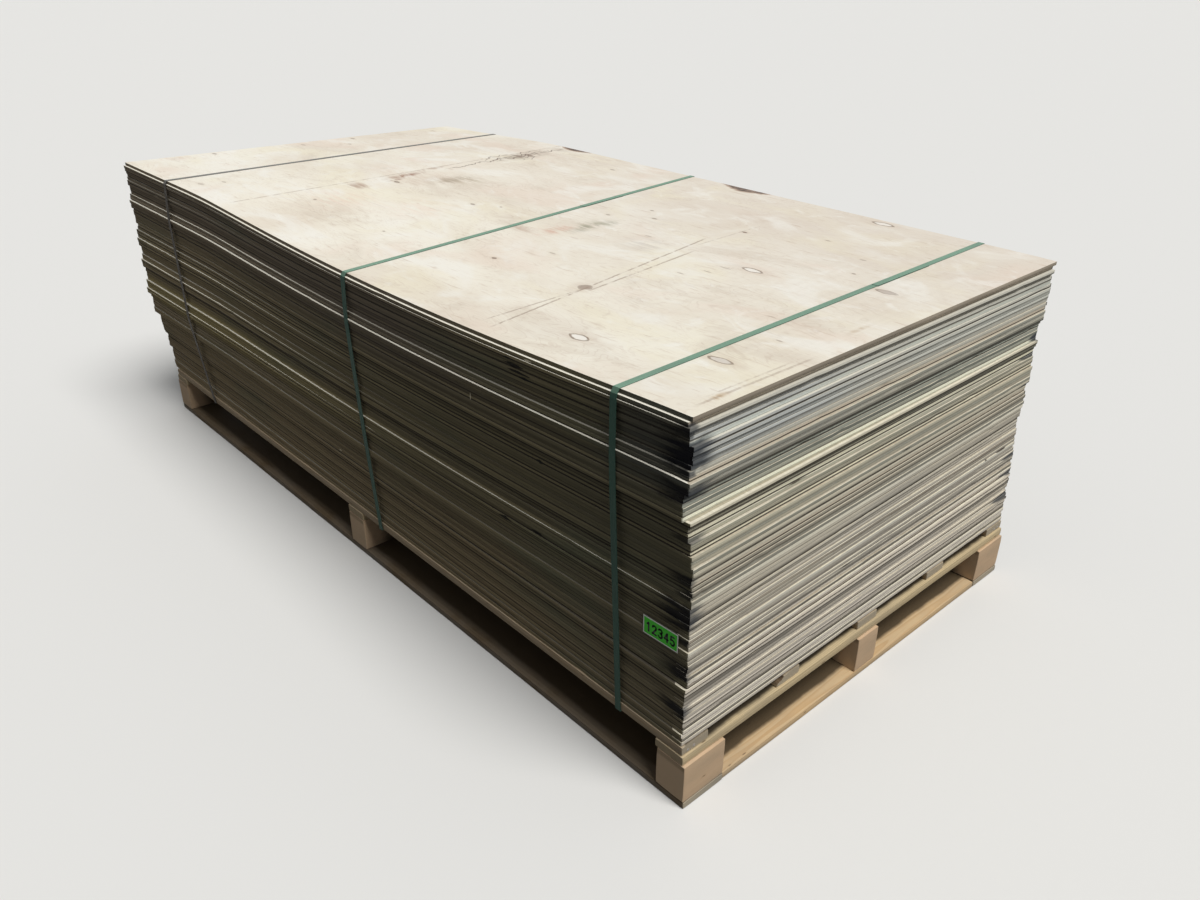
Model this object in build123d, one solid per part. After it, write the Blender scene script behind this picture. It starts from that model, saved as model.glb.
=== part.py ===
from build123d import *
import math
import os
import random

# A strapped stack of plywood sheets on a wooden block pallet, in millimetres.
# The origin is on the floor under the middle of the pallet.
# +X runs along the sheets, +Y across them and +Z up.

# Sheets
sheet_length = 2500.0
sheet_width = 1250.0
sheet_thickness = 8.8
sheet_gap = 0.2                # air between two sheets
edge_scatter = 0.8             # how far a single sheet sits out of its lift
turn_scatter = 0.02            # how far a single sheet is turned in its lift, degrees
scatter_seed = 12

# The stack was built from lifts of sheets that slid as one, listed from the top.
sheets_in_lift = [1, 1, 1, 3, 2, 3, 2, 1, 2, 6, 1, 1, 3, 3, 1,
                  2, 2, 3, 5, 3, 2, 2, 4, 2, 5, 3, 1, 6, 6, 3]
# Each row: slide along X, then how far the near edge stands out at the left and right end.
lift_slides = [
    (0.0, 0.0, 0.0),
    (-2.0, 5.0, 4.4),
    (2.5, 6.0, 8.0),
    (-1.5, 2.0, 1.5),
    (3.0, 7.0, -2.0),
    (2.0, 3.0, -3.0),
    (1.0, 7.0, 2.0),
    (8.0, 14.0, 7.0),
    (4.0, 11.0, 5.0),
    (-5.0, 4.0, 5.0),
    (7.0, 6.0, -1.0),
    (-3.0, 4.0, -5.0),
    (-4.0, 8.5, -7.0),
    (-1.0, 13.0, -9.0),
    (6.0, 9.0, -10.0),
    (0.0, 7.0, -13.0),
    (2.0, 12.0, -15.0),
    (-3.0, 16.0, -17.0),
    (-1.0, 9.0, -18.0),
    (-3.0, 14.0, -17.0),
    (-5.0, 18.0, -19.0),
    (-6.0, 8.5, -22.0),
    (-5.0, 5.0, -22.0),
    (-2.0, 8.0, -19.0),
    (-4.0, -9.0, -25.0),
    (-1.0, -9.5, -25.0),
    (1.0, -12.0, -19.0),
    (-4.0, -20.0, -24.0),
    (-1.0, -26.5, -25.0),
    (0.0, -25.0, -22.5),
]
top_sheet_x = -14.0            # place of the top sheet over the pallet
top_sheet_y = -20.0

# Pallet, made to the format of the sheets
pallet_length = sheet_length
pallet_width = sheet_width
base_thickness = 18.0
block_height = 95.0
stringer_thickness = 22.0
deck_thickness = 22.0
corner_block_width = 120.0     # across the pallet, along Y
middle_block_width = 78.0
block_length = 78.0            # along X, also the width of a stringer board
end_base_width = 95.0          # the base boards that run across, along X
deck_board_width = 78.0
deck_board_count = 5
deck_end_recess = 12.0         # deck boards end short of the blocks at both ends
stringer_recess = 6.0          # end stringers lie a little inside the block faces
wane_width = 26.0              # bark edge of one deck board
wane_depth = 13.0
board_clearance = 0.3          # between boards that butt end to edge

# Straps
strap_width = 16.0
strap_thickness = 0.9
strap_clearance = 0.3          # between the strap and what it is pulled against
strap_far_inset = 316.0        # from the pallet's left end, where the strap crosses the middle
strap_near_inset = 199.0       # from the pallet's right end
strap_middle_offset = 104.0    # from the middle of the pallet
weld_shift = 1.5               # the upper end of a strap lies this far to one side of the lower
# Each row: name, place along X, turn in degrees, the two ends of its weld along Y, if it shows.
strap_rows = [
    ("strap_far", strap_far_inset - pallet_length / 2, -1.5, None),
    ("strap_middle", strap_middle_offset, -3.1, (125.0, 285.0)),
    ("strap_near", pallet_length / 2 - strap_near_inset, -0.8, (135.0, 345.0)),
]

# Label
label_length = 94.0
label_height = 43.0
label_thickness = 0.3
label_inset = 79.0             # from the pallet's right end to the middle of the label
label_z = 400.0

label_x = pallet_length / 2 - label_inset
base_top = base_thickness
block_top = base_top + block_height
stringer_top = block_top + stringer_thickness
deck_top = stringer_top + deck_thickness
sheet_pitch = sheet_thickness + sheet_gap
sheet_count = sum(sheets_in_lift)
stack_top = deck_top + sheet_count * sheet_pitch


def sheet_places():
    """One list for each lift, from the top, with x, y, bottom z and turn of each sheet."""
    scatter = random.Random(scatter_seed)
    places = []
    level = sheet_count - 1
    for count, (slide_x, out_left, out_right) in zip(sheets_in_lift, lift_slides):
        slide_y = -(out_left + out_right) / 2
        turn = math.degrees(math.atan((out_left - out_right) / sheet_length))
        lift = []
        for _ in range(count):
            x = top_sheet_x + slide_x + scatter.uniform(-edge_scatter, edge_scatter)
            y = top_sheet_y + slide_y + scatter.uniform(-edge_scatter, edge_scatter)
            angle = turn + scatter.uniform(-turn_scatter, turn_scatter)
            lift.append((x, y, deck_top + level * sheet_pitch + sheet_gap, angle))
            level -= 1
        places.append(lift)
    return places


def board(length, width, thickness, x, y, bottom):
    """A straight piece of timber, placed by the middle of its underside."""
    place = Pos(x, y, bottom)
    return place * Box(length, width, thickness, align=(Align.CENTER, Align.CENTER, Align.MIN))


def long_edge_y(place, x, side):
    """Where the long edge of a sheet lies at x: side is -1 for the near edge, +1 for the far."""
    sheet_x, sheet_y, _, angle = place
    slope = math.tan(math.radians(angle))
    half = sheet_width / 2 / math.cos(math.radians(angle))
    return sheet_y + side * half + (x - sheet_x) * slope


def make_sheets(places):
    nodes = {}
    for number, lift in enumerate(places, start=1):
        solids = []
        for x, y, bottom, angle in lift:
            blank = Box(sheet_length, sheet_width, sheet_thickness,
                        align=(Align.CENTER, Align.CENTER, Align.MIN))
            solids.append(Pos(x, y, bottom) * Rot(0, 0, angle) * blank)
        name = "top_sheet" if number == 1 else f"sheets_lift_{number:02d}"
        nodes[name] = solids[0] if len(solids) == 1 else Compound(children=solids)
    return nodes


def make_base_boards():
    """Two side boards of full length, two end boards between them, and one middle board."""
    side_y = (pallet_width - corner_block_width) / 2
    end_x = (pallet_length - end_base_width) / 2
    between_sides = pallet_width - 2 * corner_block_width - 2 * board_clearance
    between_ends = pallet_length - 2 * end_base_width - 2 * board_clearance
    nodes = {}
    for name, y in (("near", -side_y), ("far", side_y)):
        nodes[f"base_board_side_{name}"] = board(
            pallet_length, corner_block_width, base_thickness, 0, y, 0)
    for name, x in (("left", -end_x), ("right", end_x)):
        nodes[f"base_board_end_{name}"] = board(
            end_base_width, between_sides, base_thickness, x, 0, 0)
    nodes["base_board_middle"] = board(
        between_ends, middle_block_width, base_thickness, 0, 0, 0)
    return nodes


def make_blocks():
    nodes = {}
    end_x = (pallet_length - block_length) / 2
    side_y = (pallet_width - corner_block_width) / 2
    for column, x in (("left", -end_x), ("centre", 0), ("right", end_x)):
        for row, y in (("near", -side_y), ("middle", 0), ("far", side_y)):
            width = middle_block_width if row == "middle" else corner_block_width
            nodes[f"block_{column}_{row}"] = board(
                block_length, width, block_height, x, y, base_top)
    return nodes


def make_stringers():
    end_x = (pallet_length - block_length) / 2 - stringer_recess
    nodes = {}
    for name, x in (("left", -end_x), ("centre", 0), ("right", end_x)):
        nodes[f"stringer_{name}"] = board(
            block_length, pallet_width, stringer_thickness, x, 0, block_top)
    return nodes


def make_deck_boards():
    """Deck boards run along X, and the second from the near side keeps a strip of bark edge."""
    nodes = {}
    length = pallet_length - 2 * deck_end_recess
    pitch = (pallet_width - deck_board_width) / (deck_board_count - 1)
    for number in range(deck_board_count):
        y = -(pallet_width - deck_board_width) / 2 + number * pitch
        deck_board = board(length, deck_board_width, deck_thickness, 0, y, stringer_top)
        if number == 1:
            corner_y = y - deck_board_width / 2
            wane = Plane.YZ * Polyline(
                (corner_y, deck_top), (corner_y + wane_width, deck_top),
                (corner_y, deck_top - wane_depth), close=True)
            cutter = extrude(make_face(wane), amount=pallet_length / 2, both=True)
            deck_board -= cutter
        nodes[f"deck_board_{number + 1}"] = deck_board
    return nodes


def tight_outline(points):
    """The corners, in turn, of a band pulled tight round the points."""
    def half(ordered):
        chain = []
        for point in ordered:
            while len(chain) > 1:
                (ax, ay), (bx, by) = chain[-2:]
                if (bx - ax) * (point[1] - ay) - (by - ay) * (point[0] - ax) > 0:
                    break
                chain.pop()
            chain.append(point)
        return chain[:-1]

    ordered = sorted(set(points))
    return half(ordered) + half(ordered[::-1])


def strap_outline(places, x, turn):
    """The load in the upright plane of one strap, as a face in Y and Z."""
    lean = math.radians(turn)
    corners = []
    for side in (-1, 1):
        edge_x = x + side * math.tan(lean) * sheet_width / 2

        def along_plane(y):
            return (y + side * strap_width / 2 * abs(math.sin(lean))) / math.cos(lean)

        pallet_edge = along_plane(side * pallet_width / 2)
        corners += [(pallet_edge, stringer_top), (pallet_edge, deck_top)]
        for place in sum(places, []):
            reach = side * max(side * long_edge_y(place, edge_x + end, side)
                               for end in (-strap_width, strap_width))
            corners.append((along_plane(reach), place[2]))
            corners.append((along_plane(reach), place[2] + sheet_thickness))
    return make_face(Polyline(*tight_outline(corners), close=True))


def make_straps(places):
    """Each strap is a closed flat band round the sheets and under the deck boards.

    Where its weld shows, the strap lies double, with the upper end a little to one side.
    """
    nodes = {}
    for name, x, turn, weld in strap_rows:
        load = strap_outline(places, x, turn)
        inner = offset(load, strap_clearance, kind=Kind.INTERSECTION)
        outer = offset(load, strap_clearance + strap_thickness, kind=Kind.INTERSECTION)
        band = extrude(Plane.YZ * (outer - inner), amount=strap_width / 2, both=True)
        if weld:
            length = weld[1] - weld[0]
            top = stack_top + strap_clearance
            band += Pos(weld_shift, (weld[0] + weld[1]) / 2, top) * Box(
                strap_width, length, 2 * strap_thickness,
                align=(Align.CENTER, Align.CENTER, Align.MIN))
        nodes[name] = Pos(x, 0, 0) * Rot(0, 0, -turn) * band
    return nodes


def make_label(places):
    """A thin card on the near long side, held flat against the sheets behind it."""
    bottom = label_z - label_height / 2
    top = label_z + label_height / 2
    behind = [place for lift in places for place in lift
              if place[2] + sheet_thickness > bottom and place[2] < top]
    face_y = min(long_edge_y(place, label_x + end * label_length / 2, -1)
                 for place in behind for end in (-1, 1))
    return Pos(label_x, face_y - label_thickness / 2, label_z) * Box(
        label_length, label_thickness, label_height)


def main():
    os.makedirs("parts", exist_ok=True)
    places = sheet_places()
    nodes = {}
    nodes.update(make_base_boards())
    nodes.update(make_blocks())
    nodes.update(make_stringers())
    nodes.update(make_deck_boards())
    nodes.update(make_sheets(places))
    nodes.update(make_straps(places))
    nodes["label"] = make_label(places)
    for name, shape in nodes.items():
        shape.label = name
        export_step(shape, f"parts/{name}.step")
    print("top of the stack", round(stack_top, 2), "sheets", sheet_count)


main()
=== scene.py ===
import math
import random

import bmesh
import bpy
from mathutils import Matrix, Vector, noise


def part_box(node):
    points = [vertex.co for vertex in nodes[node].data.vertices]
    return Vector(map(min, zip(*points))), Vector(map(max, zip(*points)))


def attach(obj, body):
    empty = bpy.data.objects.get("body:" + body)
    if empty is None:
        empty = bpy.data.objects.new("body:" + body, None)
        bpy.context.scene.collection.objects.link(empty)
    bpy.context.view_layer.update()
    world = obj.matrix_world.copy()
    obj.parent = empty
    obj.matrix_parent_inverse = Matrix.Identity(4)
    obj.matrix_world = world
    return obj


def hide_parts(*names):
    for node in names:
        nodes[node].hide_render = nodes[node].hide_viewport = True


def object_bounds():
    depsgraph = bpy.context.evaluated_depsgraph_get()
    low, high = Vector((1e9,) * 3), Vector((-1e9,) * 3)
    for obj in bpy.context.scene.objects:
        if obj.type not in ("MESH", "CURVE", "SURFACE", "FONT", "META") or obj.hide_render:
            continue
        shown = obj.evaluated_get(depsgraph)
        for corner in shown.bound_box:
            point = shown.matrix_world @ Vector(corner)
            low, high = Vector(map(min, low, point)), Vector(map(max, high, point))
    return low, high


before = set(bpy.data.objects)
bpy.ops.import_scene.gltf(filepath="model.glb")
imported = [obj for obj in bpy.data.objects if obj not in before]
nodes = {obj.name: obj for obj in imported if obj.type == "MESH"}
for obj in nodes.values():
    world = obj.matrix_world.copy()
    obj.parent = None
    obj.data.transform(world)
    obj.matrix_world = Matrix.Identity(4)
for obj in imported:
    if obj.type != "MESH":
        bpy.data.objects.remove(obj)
cad_low, cad_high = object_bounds()

# Sizes of the load, in metres
DECK_TOP = 0.157
SHEET_PITCH = 0.009
SHEET_COUNT = 80
STACK_TOP = DECK_TOP + SHEET_PITCH * SHEET_COUNT
PLY_COUNT = 7
SHEET_LENGTH = 2.5
STACK_WIDTH = 1.25
STACK_MIDDLE_Y = -0.02
STACK_FAR_Y = STACK_WIDTH / 2 + STACK_MIDDLE_Y

# The raw sheets are not quite even in thickness, so the tall stack sinks along parts of its
# long edges, deepest at the top
SINK_DEPTH = 0.03
SINK_PLACE = 0.3  # where the near long edge is lowest
SINK_WAVE = 3.8
SINK_SOFT = 0.0025

# Camera
IMAGE_WIDTH = 1200
FOCAL_PIXELS = 983.3
SENSOR_WIDTH = 36.0
CAMERA_PLACE = (2.1658, -1.6976, 1.5579)
CAMERA_AZIMUTH = 47.437
CAMERA_ELEVATION = 27.981
CAMERA_ROLL = 0.454

# Light
SUN_FROM = (0.5, 0.02, 0.87)
SUN_STRENGTH = 2.72
SUN_SPREAD = 30.0
SUN_COLOUR = (1.0, 0.985, 0.955)
SKY_LOW = 0.05  # near the horizon
SKY_HIGH = 0.34  # overhead
SKY_SEEN = 0.82  # as the camera and reflections see it
SKY_COLOUR = (0.97, 0.985, 1.0)
FLOOR_REACH = 60.0
FLOOR_COLOUR = (0.8, 0.8, 0.79)
FLOOR_BOUNCE = (0.1, 0.097, 0.093)


def sink(x, y, z):
    """How far the load has settled at a point of its flat form."""
    lean = SINK_DEPTH * math.cos(math.tau * (x - SINK_PLACE) / SINK_WAVE)
    near, far = (SINK_SOFT * math.log1p(math.exp(v / SINK_SOFT)) for v in (lean, -lean))
    across = min(1.0, max(0.0, (y - STACK_MIDDLE_Y) / STACK_WIDTH + 0.5))
    height = min(1.0, max(0.0, (z - DECK_TOP) / (STACK_TOP - DECK_TOP)))
    return height * (near * (1 - across) + far * across)


def settle(mesh):
    """Keeps each point's place in the flat form, for the materials, and lets it sink."""
    flat = mesh.verts.layers.float_vector.new("flat")
    for vert in mesh.verts:
        vert[flat] = vert.co
        vert.co.z -= sink(*vert.co)


# Node trees

class Value:
    """What a node gives out. A sum with it adds nodes to its tree."""

    def __init__(self, tree, socket):
        self.tree = tree
        self.socket = socket

    def __add__(self, other):
        return self.tree.math("ADD", self, other)

    def __sub__(self, other):
        return self.tree.math("SUBTRACT", self, other)

    def __rsub__(self, other):
        return self.tree.math("SUBTRACT", other, self)

    def __mul__(self, other):
        return self.tree.math("MULTIPLY", self, other)

    def __truediv__(self, number):
        return self * (1.0 / number)

    def __pow__(self, number):
        return self.tree.math("POWER", self, number)

    def __abs__(self):
        return self.tree.math("ABSOLUTE", self)


class Tree:
    """A node tree that is written as sums: each call adds a node and returns what it gives out."""

    def __init__(self, tree):
        self.tree = tree

    def put(self, socket, value):
        if isinstance(value, Value):
            self.tree.links.new(value.socket, socket)
        elif isinstance(value, tuple) and socket.type == "RGBA":
            socket.default_value = (*value, 1.0)
        else:
            socket.default_value = value

    def fill(self, made, values):
        for key, value in values.items():
            if value is not None:
                self.put(made.inputs[key], value)

    def node(self, kind, *values, **settings):
        made = self.tree.nodes.new("ShaderNode" + kind)
        for key, value in settings.items():
            setattr(made, key, value)
        self.fill(made, dict(enumerate(values)))
        return made

    def value(self, kind, *values, output=0, **settings):
        """One output of a new node."""
        return Value(self, self.node(kind, *values, **settings).outputs[output])

    def math(self, operation, *values):
        return self.value("Math", *values, operation=operation)

    def parts(self, vector):
        return tuple(Value(self, part) for part in self.node("SeparateXYZ", vector).outputs)

    def join(self, x, y, z):
        return self.value("CombineXYZ", x, y, z)

    def noise(self, place, detail, rough, warp=0.0):
        """Clouds that are about one across, counted in the three parts of the place."""
        made = self.node("TexNoise")
        self.fill(made, {"Vector": self.join(*place) if isinstance(place, tuple) else place,
                         "Scale": 1.0, "Detail": detail, "Roughness": rough, "Distortion": warp})
        return Value(self, made.outputs[0])

    def white(self, value, output="Value"):
        return self.value("TexWhiteNoise", None, value, output=output, noise_dimensions="1D")

    def step(self, value, low, high, start=0.0, end=1.0, kind="SMOOTHSTEP"):
        """Maps low..high to start..end and stays there outside."""
        return self.value("MapRange", value, low, high, start, end, interpolation_type=kind)

    def line(self, value, low, high, start, end):
        return self.step(value, low, high, start, end, "LINEAR")

    def between(self, share, a, b):
        return self.line(share, 0.0, 1.0, a, b)

    def ramp(self, value, *stops):
        made = self.node("ValToRGB", value)
        elements = made.color_ramp.elements
        while len(elements) < len(stops):
            elements.new(0.5)
        for element, (place, colour) in zip(elements, stops):
            element.position = place
            element.color = (*colour, 1.0)
        return Value(self, made.outputs[0])

    def mix(self, share, a, b, how="MIX"):
        made = self.node("Mix", data_type="RGBA", blend_type=how)
        self.fill(made, {0: share, 6: a, 7: b})
        return Value(self, made.outputs[2])

    def tinted(self, colour, *rows):
        """Lays tints over a colour, in turn. Each row ends with a share and a tint. Before them
        may stand a value that the tint follows, where it starts and where it is full."""
        for *where, share, tint in rows:
            if where:
                share = self.step(*where) * share
            colour = self.mix(share, colour, tint)
        return colour

    def bump(self, height, distance, strength):
        made = self.node("Bump")
        self.fill(made, {"Strength": strength, "Distance": distance, "Height": height})
        return Value(self, made.outputs[0])


class Paint(Tree):
    """A material. The point that it reads on settled things is its place in their flat form."""

    def __init__(self, name, roughness, specular, settled=False):
        self.material = bpy.data.materials.new(name)
        self.material.use_nodes = True
        super().__init__(self.material.node_tree)
        self.shader = self.tree.nodes["Principled BSDF"]
        self.fill(self.shader, {"Roughness": roughness, "Specular IOR Level": specular})
        if settled:
            self.point = self.attribute("flat", "Vector")
        else:
            self.point = self.value("TexCoord", output="Object")
        self.x, self.y, self.z = self.parts(self.point)

    def attribute(self, name, output="Fac"):
        return self.value("Attribute", output=output, attribute_name=name,
                          attribute_type="GEOMETRY")

    def facing(self):
        """The three parts of the direction that the surface faces."""
        return self.parts(self.value("NewGeometry", output="Normal"))

    def scaled(self, x, y, z):
        """The point with each axis stretched by its own factor."""
        return self.value("VectorMath", self.point, (x, y, z), operation="MULTIPLY")

    def finish(self, colour, roughness=None, normal=None):
        self.fill(self.shader, {"Base Color": colour, "Roughness": roughness, "Normal": normal})
        return self.material


def metres(rows, count=4):
    """Turns the first numbers of each row from millimetres into metres."""
    return [(*(number / 1000 for number in row[:count]), *row[count:]) for row in rows]


def spans(value, middle, half):
    """How far a value lies from the middle, in half sizes."""
    return abs((value - middle) / half)


# Paint marks down the near corner. Each row: middle height, half height, reach on the long
# side, reach on the end, all in millimetres, and strength
CORNER_MARKS = [
    (856, 8, 50, 18, 0.9), (841, 5, 85, 8, 0.8), (803, 28, 75, 52, 1.0), (772, 6, 45, 10, 0.85),
    # The row at 731 mm is black paint on the long side; its reach onto the end is a painted shadow
    # under the sheets above, where the sheets below lie back
    (731, 18, 90, 60, 0.92), (637, 6, 50, 50, 0.8), (549, 10, 78, 34, 0.92),
    (520, 10, 35, 18, 0.85), (463, 30, 78, 46, 0.95), (409, 6, 45, 8, 0.85),
    (332, 17, 82, 36, 0.95), (237, 17, 72, 40, 0.95),
]
# Marks down the far end of the same face. Each row: middle height, half height and reach in
# millimetres, and strength
FAR_MARKS = [
    (689, 9.5, 50, 0.95), (658.5, 3.5, 40, 0.9), (641, 5.5, 80, 0.8), (559, 5.5, 55, 0.9),
    (356, 3.5, 45, 0.9), (307, 5.5, 55, 0.8), (235, 7.5, 65, 0.85),
]
# Gaps in the inner veneers of that face. Each row: middle y, z, half length, half height, all
# in millimetres
END_VOIDS = [
    (552, 392, 34, 2.2), (473, 390, 6, 2.2), (-342, 642, 30, 1.8), (50, 575, 20, 1.6),
    (-120, 350, 26, 1.6),
]
VOID_BROWN = (0.045, 0.03, 0.022)


def paint_marks(p, colour, on_end, tint_long, tint_end):
    """Black paint that ran down both corners of the end that faces the viewer. One mark's reach onto
    the end is a painted shadow.
    """
    ragged = (p.noise(p.scaled(38.0, 38.0, 300.0), 4, 0.7) - 0.5) * 2.0
    soft = (p.noise(p.scaled(20.0, 20.0, 60.0), 3, 0.6) - 0.5) * 2.0
    number = p.math("FLOOR", (p.z - DECK_TOP) / SHEET_PITCH)
    own = (p.white(number + 30.0) - 0.5) * 0.55
    from_end = cad_high.x - p.x
    from_side = p.y - cad_low.y
    near_end = p.step(from_end, 0.3, 0.2)
    tint = p.mix(on_end, tint_long, tint_end)
    fade = p.between(on_end, 1.0, 0.86)
    for middle, half, long_reach, end_reach, strength in metres(CORNER_MARKS):
        tall = p.step(spans(p.z, middle, half) + soft * 0.55, 1.25, 0.75)
        far = p.mix(on_end, (from_end - 0.012) / long_reach, (from_side - 0.022) / end_reach)
        reach = p.step(far + (ragged * 0.24 + own), 1.15, 0.3)
        colour = p.mix(tall * reach * near_end * (fade * strength), colour, tint)
    from_back = STACK_FAR_Y - p.y
    for middle, half, end_reach, strength in metres(FAR_MARKS, 3):
        far = from_back / end_reach
        tall = p.step(spans(p.z, middle, half) + far * 0.8 + soft * 0.3, 1.45, 0.95)
        reach = p.step(far + ragged * 0.25, 1.1, 0.5)
        colour = p.mix(tall * reach * near_end * on_end * strength, colour, tint_end)
    for middle_y, middle_z, half_y, half_z in metres(END_VOIDS):
        away = spans(p.y, middle_y, half_y) + spans(p.z, middle_z, half_z) + ragged * 0.7
        colour = p.tinted(colour, (away, 1.3, 0.9, near_end * (on_end * 0.9), VOID_BROWN))
    return colour


# Birch veneer, the upper and lower faces of the sheets

# Each row: middle x, y, half length along the grain, half width, in millimetres, inlay tone
VENEER_PATCHES = [
    (829, -526, 25, 12, 1.0), (1103, -428, 26, 10.5, 0.62), (793, 33, 28, 10.5, 1.0),
    (782, 575, 30, 12, 0.95), (1092, 116, 25, 9.5, 0.3), (609, -316, 17, 15, 0.0),
]
# Each row: the same lengths, then the depth of the stain
VENEER_KNOTS = [
    (578, 259, 10, 5, 0.85), (-164, 487, 14, 5, 0.5), (263, 238, 8, 4, 0.6), (208, 123, 9, 5, 0.5),
    (968, 174, 7, 4, 0.6), (-130, -86, 12, 6, 0.6), (-54, -44, 5, 3, 0.7), (-74, -410, 6, 4, 0.5),
    (-450, -404, 8, 5, 0.55), (294, -330, 10, 6, 0.75), (-1236, -359, 16, 7, 0.6),
    (-1225, 159, 14, 7, 0.6), (-1125, 91, 12, 6, 0.5), (-1212, -44, 18, 7, 0.35),
    (-811, -582, 22, 8, 0.3), (-794, -519, 16, 6, 0.35), (690, -98, 12, 3, 0.45),
    (726, -46, 14, 3, 0.4), (738, 3, 20, 3.5, 0.35), (771, 349, 10, 3.5, 0.45),
    (924, 277, 12, 3.5, 0.4), (1115, -276, 10, 3, 0.45), (365, -205, 14, 3.5, 0.4),
    (-477, -118, 18, 7, 0.7), (-1191, 491, 16, 6, 0.4), (324, 186, 12, 4.5, 0.55),
    (430, 60, 16, 4, 0.35), (1020, -180, 14, 3, 0.3),
]
# Each row: the same lengths, then the colour and depth of the stain
VENEER_STAINS = [
    (-518, -225, 60, 30, (0.42, 0.27, 0.2), 0.4), (-500, -110, 12, 34, (0.3, 0.16, 0.11), 0.9),
    (-524, -46, 14, 50, (0.34, 0.19, 0.13), 0.85), (-552, 62, 16, 70, (0.42, 0.27, 0.2), 0.65),
    (-400, 10, 45, 50, (0.45, 0.36, 0.27), 0.6), (-360, 75, 32, 45, (0.42, 0.33, 0.25), 0.6),
    (150, -130, 60, 24, (0.5, 0.33, 0.25), 0.5), (-468, -49, 110, 90, (0.55, 0.38, 0.28), 0.3),
    (-343, 66, 60, 80, (0.5, 0.42, 0.3), 0.45), (-1240, -495, 45, 60, (0.6, 0.36, 0.26), 0.3),
    (252, 34, 55, 60, (0.33, 0.31, 0.2), 0.42), (210, -73, 50, 60, (0.66, 0.42, 0.32), 0.35),
    (343, 178, 80, 40, (0.45, 0.38, 0.32), 0.2), (-647, -56, 30, 30, (0.42, 0.42, 0.32), 0.28),
    (-406, -339, 120, 110, (0.8, 0.58, 0.46), 0.36),
    (-207, -239, 110, 120, (0.82, 0.62, 0.5), 0.32), (225, -70, 30, 70, (0.62, 0.34, 0.25), 0.5),
    (260, 4, 30, 78, (0.25, 0.24, 0.16), 0.66), (464, 0, 75, 70, (0.5, 0.45, 0.4), 0.42),
    (-528, -62, 24, 90, (0.33, 0.18, 0.12), 0.85), (-510, -235, 44, 30, (0.38, 0.24, 0.18), 0.7),
    (-390, 30, 40, 90, (0.36, 0.3, 0.22), 0.5), (-515, 400, 45, 110, (0.22, 0.15, 0.11), 0.8),
    (-510, 560, 45, 35, (0.4, 0.3, 0.22), 0.5), (1209, -555, 10, 40, (0.45, 0.27, 0.1), 0.65),
    (1185, -116, 9, 36, (0.5, 0.34, 0.2), 0.55),
]
# Taped joints that run across the top sheet, and scratches beside its end, in metres. Each row:
# x where y is 0, slope, width, lowest and highest y, depth of the tint
VENEER_JOINTS = [
    (0.566, -0.148, 0.0019, -0.6, 0.12, 0.7), (0.613, 0.0, 0.0017, -0.58, -0.36, 0.6),
    (0.6, -0.098, 0.0019, -0.32, 0.02, 0.7), (0.566, 0.012, 0.0012, 0.1, 0.3, 0.4),
    (1.22, 0.02, 0.0022, -0.6, -0.33, 0.45), (1.206, 0.02, 0.0016, -0.56, -0.38, 0.35),
    (-0.56, 0.0, 0.0022, -0.6, 0.6, 0.5),
]
# Thin cracks with bark in them, near the far edge, in metres. Each row: x with its sign
# changed, sway, lowest and highest y, width
BARK_CRACKS = [
    (0.517, 0.1, 0.07, 0.6, 0.0052), (0.54, 0.17, 0.22, 0.56, 0.004),
    (0.498, 0.14, 0.26, 0.5, 0.004), (0.47, 0.12, 0.32, 0.47, 0.003),
]
# Bark that broke out along the far edge, in metres. Each row: middle x, half length, depth
# from the edge
BARK_BREAKS = [(0.299, 0.092, 0.03), (-0.467, 0.078, 0.024)]
# Sheets whose near rim gets a painted highlight, as a ledge that catches the light, where the
# other rims of the long side get painted shade. Each row: number from the top, and how strong
# the highlight is toward the right end and toward the left end
BRIGHT_RIMS = [
    (2, 1.0, 0.95), (3, 1.0, 0.6), (9, 0.08, 0.55), (12, 0.4, 1.0), (14, 1.0, 1.0), (25, 0.0, 0.4),
    (28, 0.08, 0.95), (34, 0.05, 0.45), (36, 0.1, 0.8), (44, 0.7, 1.0), (47, 0.55, 0.95),
    (55, 0.06, 0.25),
]


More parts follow.
